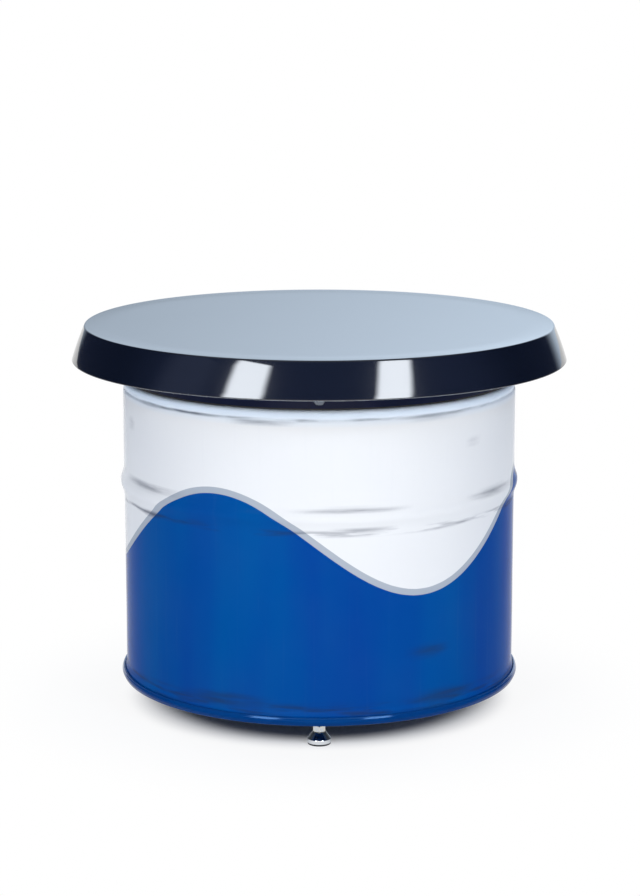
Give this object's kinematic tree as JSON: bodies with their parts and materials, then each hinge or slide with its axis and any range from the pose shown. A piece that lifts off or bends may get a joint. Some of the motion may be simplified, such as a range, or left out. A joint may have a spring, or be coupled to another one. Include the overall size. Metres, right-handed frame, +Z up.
{
  "type": "drum table",
  "caption": "Round side table: a painted half-drum body on screw feet under a black gloss top with a flared skirt that stands on a set-back collar and lifts off.",
  "frame": {"origin": "on the floor, under the middle of the drum", "axes": "+Z up along the drum's axis, -Y towards the front, +X to the right seen from the front"},
  "size_m": [0.7202, 0.7202, 0.558],
  "materials": {
    "drum_enamel": "gloss enamel, white above and blue below with a silver-grey line between",
    "black_gloss_top": "high gloss moulding",
    "plywood": "plywood faced with dark brown film, the plies bare at the edge",
    "black_steel": "satin black powder coat",
    "black_gloss_steel": "gloss black",
    "black_bolt_steel": "black gloss over steel",
    "black_rubber": "moulded",
    "zinc_steel": "bright zinc plate",
    "foot_chrome": "polished"
  },
  "bodies": {
    "drum": {"drum_shell": "drum_enamel", "bottom_head": "drum_enamel", "foot_weld_nuts": "zinc_steel"},
    "top": {"tabletop_shell": "black_gloss_top", "core_board": "plywood", "cross_bar_side_to_side": "black_steel", "cross_bar_front_to_back": "black_steel", "collar_ring": "black_gloss_steel", "collar_edge_strip": "black_rubber", "collar_spacers": "zinc_steel", "collar_bolts": "black_bolt_steel", "collar_washers": "zinc_steel", "collar_nuts": "zinc_steel", "board_screws": "zinc_steel"},
    "foot_front_base": {"foot_front_pad": "black_rubber", "foot_front_bell": "foot_chrome"},
    "foot_front_screw": {"foot_front_stud": "zinc_steel", "foot_front_nut": "zinc_steel"},
    "foot_right_base": {"foot_right_pad": "black_rubber", "foot_right_bell": "foot_chrome"},
    "foot_right_screw": {"foot_right_stud": "zinc_steel", "foot_right_nut": "zinc_steel"},
    "foot_back_base": {"foot_back_pad": "black_rubber", "foot_back_bell": "foot_chrome"},
    "foot_back_screw": {"foot_back_stud": "zinc_steel", "foot_back_nut": "zinc_steel"},
    "foot_left_base": {"foot_left_pad": "black_rubber", "foot_left_bell": "foot_chrome"},
    "foot_left_screw": {"foot_left_stud": "zinc_steel", "foot_left_nut": "zinc_steel"}
  },
  "joints": [
    {"name": "top_lift", "type": "slide", "parent": "drum", "child": "top", "axis": [0, 0, 1], "range_m": [0, 0.2]},
    {"name": "foot_front_rise", "type": "slide", "parent": "drum", "child": "foot_front_base", "axis": [0, 0, 1], "range_m": [-0.015, 0.015]},
    {"name": "foot_front_turn", "type": "hinge", "parent": "foot_front_base", "child": "foot_front_screw", "pos_m": [0, -0.257, 0.03], "axis": [0, 0, 1], "range_deg": [-3600, 3600]},
    {"name": "foot_right_rise", "type": "slide", "parent": "drum", "child": "foot_right_base", "axis": [0, 0, 1], "range_m": [-0.015, 0.015]},
    {"name": "foot_right_turn", "type": "hinge", "parent": "foot_right_base", "child": "foot_right_screw", "pos_m": [0.257, 0, 0.03], "axis": [0, 0, 1], "range_deg": [-3600, 3600]},
    {"name": "foot_back_rise", "type": "slide", "parent": "drum", "child": "foot_back_base", "axis": [0, 0, 1], "range_m": [-0.015, 0.015]},
    {"name": "foot_back_turn", "type": "hinge", "parent": "foot_back_base", "child": "foot_back_screw", "pos_m": [0, 0.257, 0.03], "axis": [0, 0, 1], "range_deg": [-3600, 3600]},
    {"name": "foot_left_rise", "type": "slide", "parent": "drum", "child": "foot_left_base", "axis": [0, 0, 1], "range_m": [-0.015, 0.015]},
    {"name": "foot_left_turn", "type": "hinge", "parent": "foot_left_base", "child": "foot_left_screw", "pos_m": [-0.257, 0, 0.03], "axis": [0, 0, 1], "range_deg": [-3600, 3600]}
  ],
  "couplings": [
    {"joint": "foot_front_turn", "follows": "foot_front_rise", "rad_per_m": 4188.8},
    {"joint": "foot_right_turn", "follows": "foot_right_rise", "rad_per_m": 4188.8},
    {"joint": "foot_back_turn", "follows": "foot_back_rise", "rad_per_m": 4188.8},
    {"joint": "foot_left_turn", "follows": "foot_left_rise", "rad_per_m": 4188.8}
  ]
}
